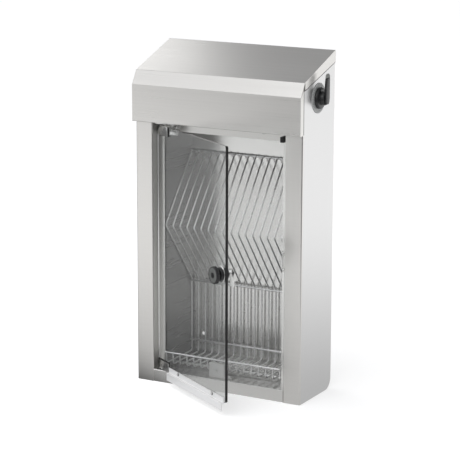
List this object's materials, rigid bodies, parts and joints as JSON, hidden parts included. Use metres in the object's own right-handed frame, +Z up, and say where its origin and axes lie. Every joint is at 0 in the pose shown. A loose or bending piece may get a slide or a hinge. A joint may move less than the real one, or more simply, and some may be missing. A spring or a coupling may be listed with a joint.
{
  "type": "knife sterilizer cabinet",
  "caption": "Wall-hung stainless steel ultraviolet knife sterilizer cabinet with a hinged glass door, lock, wire rack and side timer.",
  "frame": {"origin": "on the flat underside, midway between the side panels and midway between the stiles' front plane and the back", "axes": "+Z up, +Y towards the wall at the back, +X towards the timer side"},
  "size_m": [0.3845, 0.2741, 0.6472],
  "materials": {
    "stainless_sheet": "horizontally brushed stainless sheet",
    "bright_steel": "polished stainless fittings",
    "bright_wire": "electropolished round wire",
    "clear_glass": "clear, lightly grey pane with ground edges",
    "black_rubber": "matt black seal",
    "aluminium_profile": "satin bright profile",
    "black_plastic": "fine-grained black moulding",
    "grey_plastic": "satin grey moulding",
    "white_plastic": "off-white moulding",
    "lamp_glass": "clear quartz tube",
    "lamp_metal": "pressed caps",
    "gear_paint": "white-painted laminated case",
    "wire_insulation": "insulated single wires"
  },
  "bodies": {
    "cabinet": {"casing_wrap": "stainless_sheet", "left_side_panel": "stainless_sheet", "right_side_panel": "stainless_sheet", "stiles": "stainless_sheet", "door_lips": "stainless_sheet", "chamber_floor": "stainless_sheet", "chamber_left_wall": "stainless_sheet", "chamber_right_wall": "stainless_sheet", "top_rail": "stainless_sheet", "lamp_tray": "stainless_sheet", "hood": "stainless_sheet", "rack_hooks": "stainless_sheet", "hinge_bushes": "black_plastic", "top_hinge_bracket": "bright_steel", "strike_plate": "white_plastic", "small_screws": "bright_steel", "door_buffer": "black_rubber", "door_switch": "white_plastic", "plunger_spring": "bright_steel", "timer_body": "white_plastic", "dial_plate": "grey_plastic", "timer_nut": "bright_steel", "lamp_tube": "lamp_glass", "lamp_caps": "lamp_metal", "lamp_holders": "white_plastic", "ballast": "gear_paint", "ballast_screws": "bright_steel", "starter": "white_plastic", "starter_socket": "white_plastic", "terminal_block": "white_plastic", "earth_stud": "bright_steel", "cable_gland": "black_plastic", "gland_locknut": "black_plastic", "internal_wires": "wire_insulation"},
    "door": {"door_glass": "clear_glass", "door_edge_strip": "black_rubber", "door_bottom_profile": "aluminium_profile", "profile_fasteners": "bright_steel", "hinge_clips": "bright_steel", "clip_pads": "black_rubber", "clip_grub_screws": "bright_steel", "hinge_pins": "bright_steel", "lock_escutcheon": "bright_steel", "lock_body": "black_plastic", "lock_nut": "black_plastic"},
    "lock": {"lock_knob": "black_plastic", "lock_knob_face": "grey_plastic", "key_plug": "black_plastic", "lock_cam": "bright_steel", "cam_screw": "bright_steel"},
    "timer": {"timer_shaft": "bright_steel", "timer_knob": "black_plastic", "lever_tip": "grey_plastic"},
    "plunger": {"switch_plunger": "white_plastic"},
    "rack": {"rack_upper_wires": "bright_wire", "rack_lower_wires": "bright_wire", "rack_back_wires": "bright_wire", "rack_floor_wires": "bright_wire", "rack_front_wires": "bright_wire", "rack_cross_rods": "bright_wire"}
  },
  "joints": [
    {"name": "door_hinge", "type": "hinge", "parent": "cabinet", "child": "door", "pos_m": [-0.1242, -0.0585, 0.26], "axis": [0, 0, -1], "range_deg": [-32, 68]},
    {"name": "lock_turn", "type": "hinge", "parent": "door", "child": "lock", "pos_m": [0.07611, -0.18367, 0.265], "axis": [-0.5299, -0.848, 0], "range_deg": [0, 90]},
    {"name": "timer_turn", "type": "hinge", "parent": "cabinet", "child": "timer", "pos_m": [0.18, -0.003, 0.567], "axis": [-1, 0, 0], "range_deg": [0, 300]},
    {"name": "switch_press", "type": "slide", "parent": "cabinet", "child": "plunger", "axis": [0, 1, 0], "range_m": [0, 0.0022], "stiffness_N_per_m": 150, "springref_m": -0.004},
    {"name": "rack_lift", "type": "slide", "parent": "cabinet", "child": "rack", "axis": [0, 0, 1], "range_m": [0, 0.012]}
  ]
}
